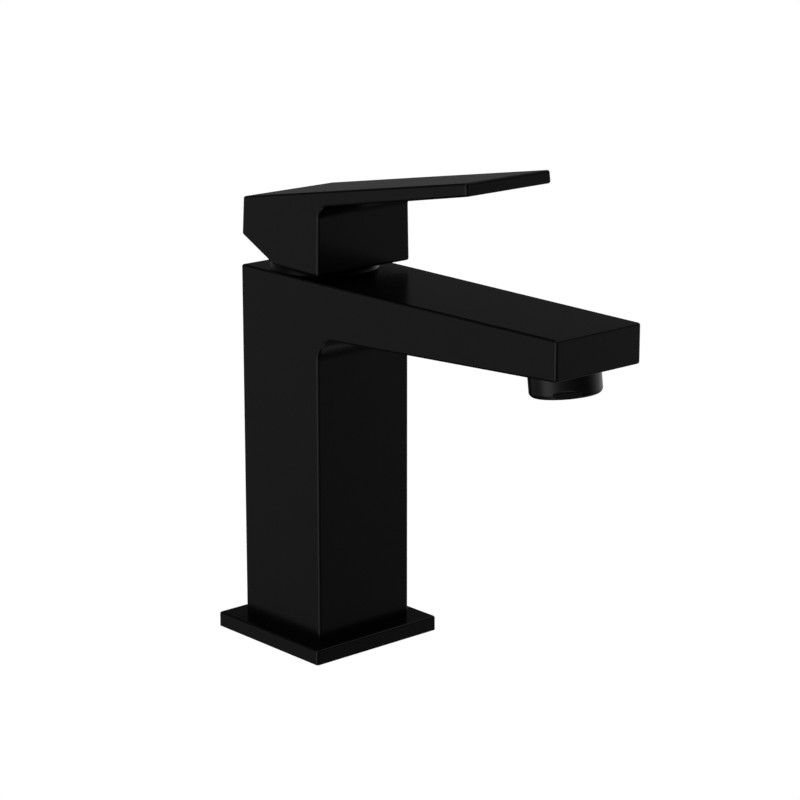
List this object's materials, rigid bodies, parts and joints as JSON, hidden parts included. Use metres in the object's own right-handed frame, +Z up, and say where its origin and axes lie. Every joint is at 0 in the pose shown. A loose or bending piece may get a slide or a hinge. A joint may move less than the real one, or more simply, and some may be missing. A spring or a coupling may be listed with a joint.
{
  "type": "basin mixer faucet",
  "caption": "Single-lever basin mixer: square column, straight flat spout with round aerator, square handle block with a flat rising lever, square base plate; lifts for flow, turns for heat.",
  "frame": {"origin": "mouth of the fixing stud's threaded hole, on the column's axis in the deck plane", "axes": "+Z up, -Y along the spout towards the user, +X to the user's right"},
  "size_m": [0.055, 0.1598, 0.1757],
  "materials": {
    "black_satin": "satin black coating",
    "brass": "machined",
    "cartridge_plastic": "moulded",
    "guide_plastic": "moulded",
    "limit_plastic": "moulded",
    "disc_ceramic": "lapped alumina ceramic",
    "seal_rubber": "moulded",
    "steel": "stainless, machined",
    "aerator_plastic": "moulded",
    "plug_plastic": "satin black"
  },
  "bodies": {
    "fixed": {"body": "black_satin", "base_plate": "black_satin", "dome_ring": "black_satin", "aerator_housing": "black_satin", "base_gasket": "seal_rubber", "hot_port_seal": "seal_rubber", "cold_port_seal": "seal_rubber", "housing_seal": "seal_rubber", "disc_gasket": "seal_rubber", "aerator_washer": "seal_rubber", "cartridge_base": "cartridge_plastic", "cartridge_housing": "cartridge_plastic", "fixed_disc": "disc_ceramic", "aerator_screen": "steel", "retaining_nut": "brass", "aerator_insert": "aerator_plastic", "flow_straightener": "aerator_plastic", "flow_regulator": "aerator_plastic"},
    "swivel": {"spindle_guide": "guide_plastic", "temperature_limit_ring": "limit_plastic", "pivot_pin": "steel"},
    "lever": {"handle": "black_satin", "stem": "brass", "handle_screw": "steel", "screw_plug": "plug_plastic"},
    "disc_slider": {"disc_carrier": "guide_plastic", "moving_disc": "disc_ceramic"}
  },
  "joints": [
    {"name": "temperature_swivel", "type": "hinge", "parent": "fixed", "child": "swivel", "pos_m": [0, 0, 0.125], "axis": [0, 0, 1], "range_deg": [-50, 50]},
    {"name": "lever_lift", "type": "hinge", "parent": "swivel", "child": "lever", "pos_m": [0, 0, 0.125], "axis": [-1, 0, 0], "range_deg": [0, 25]},
    {"name": "disc_slide", "type": "slide", "parent": "swivel", "child": "disc_slider", "axis": [0, -1, 0], "range_m": [0, 0.00422]}
  ],
  "couplings": [
    {"joint": "disc_slide", "follows": "lever_lift", "m_per_rad": 0.00965}
  ]
}
